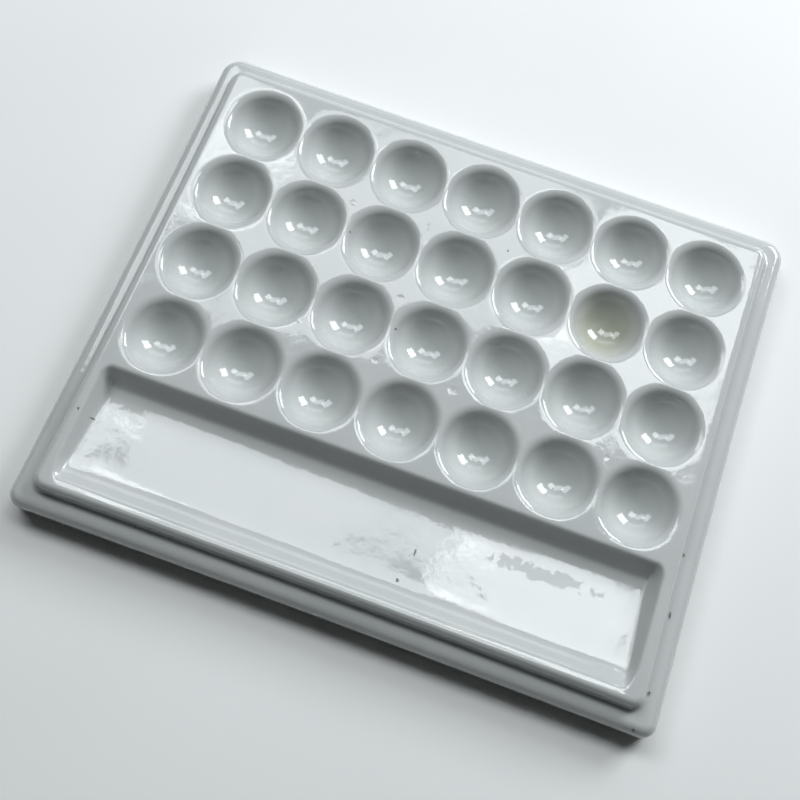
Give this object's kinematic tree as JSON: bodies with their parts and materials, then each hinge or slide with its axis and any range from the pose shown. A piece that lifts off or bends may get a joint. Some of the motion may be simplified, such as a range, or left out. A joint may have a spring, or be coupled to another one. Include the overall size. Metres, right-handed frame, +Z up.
{
  "type": "porcelain mixing palette",
  "caption": "Rectangular glazed porcelain palette: a grid of round paint wells, a long sloping mixing trough in front, and a stepped rim all round.",
  "frame": {"origin": "middle of the resting plane, under the middle of the bounding box", "axes": "+X along the rows of wells, +Y from the trough towards the back row, +Z up out of the wells"},
  "size_m": [0.254, 0.2091, 0.02],
  "materials": {
    "fired_porcelain": "unglazed bisque-smooth porcelain, matt, slightly warm white",
    "clear_glaze": "cool white glossy glaze, softly pooled in the corners, with a few pinholes"
  },
  "bodies": {
    "root": {"porcelain_body": "fired_porcelain", "glaze_coat": "clear_glaze"}
  },
  "joints": []
}
